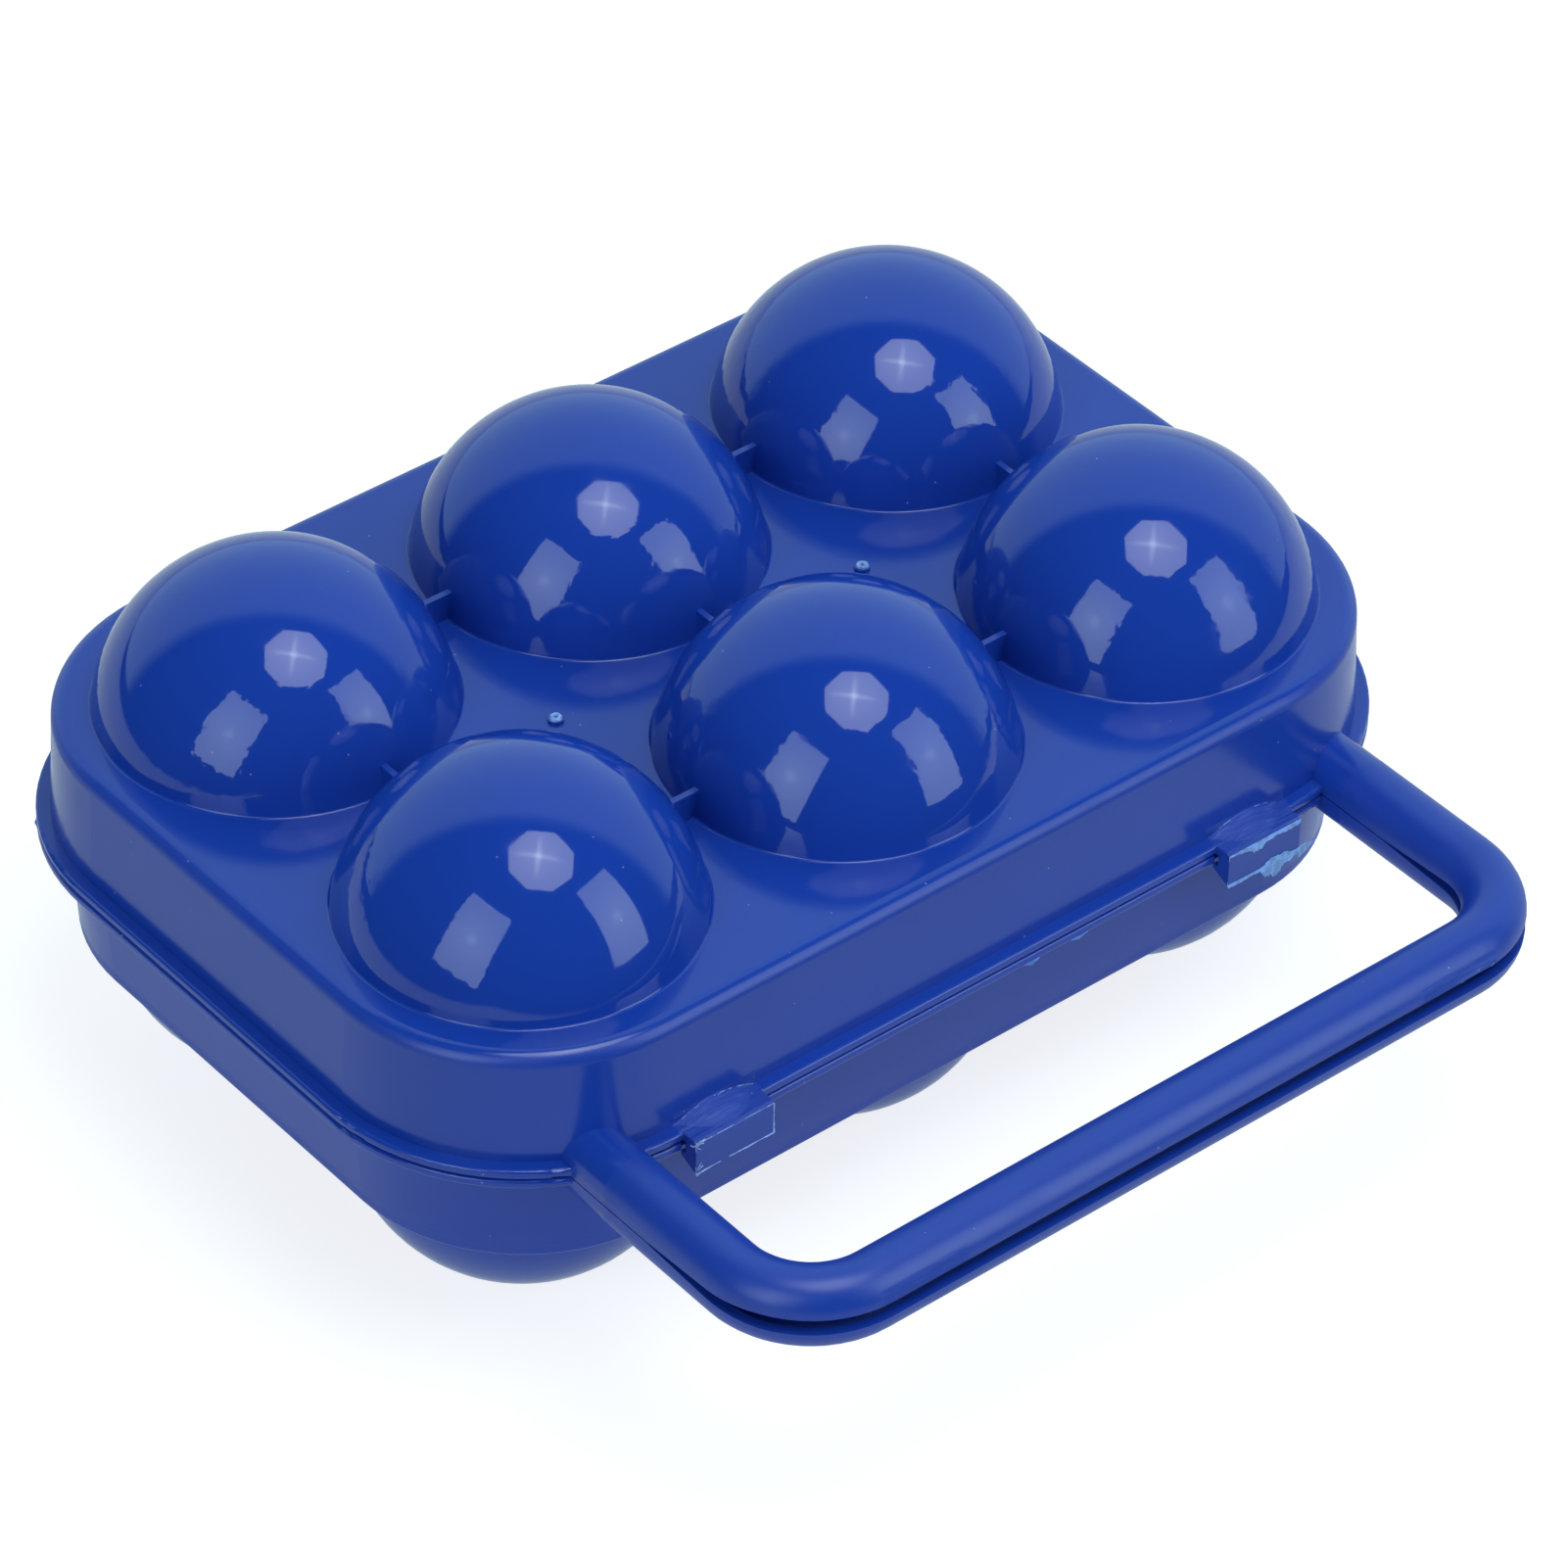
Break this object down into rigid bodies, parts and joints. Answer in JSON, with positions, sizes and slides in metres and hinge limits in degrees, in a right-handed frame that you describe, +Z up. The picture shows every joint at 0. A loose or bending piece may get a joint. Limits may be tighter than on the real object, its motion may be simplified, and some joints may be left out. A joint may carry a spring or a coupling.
{
  "type": "camping egg box",
  "caption": "Hinged carrying box for eggs, moulded in thin glossy plastic: a lid with round caps over a cupped base, with snap latches and a split handle at the front.",
  "frame": {"origin": "middle of the footprint, handle and hinges included, on the surface that the cups' feet stand on", "axes": "+X along the long side, to the right as seen from the handle; +Y from the handle to the hinges; +Z up"},
  "size_m": [0.1638, 0.1595, 0.075],
  "materials": {
    "blue_plastic": "glossy moulded polypropylene"
  },
  "bodies": {
    "base": {"base": "blue_plastic"},
    "lid": {"lid": "blue_plastic"}
  },
  "joints": [
    {"name": "lid_hinge", "type": "hinge", "parent": "base", "child": "lid", "pos_m": [0, 0.07675, 0.03635], "axis": [-1, 0, 0], "range_deg": [0, 175]}
  ]
}
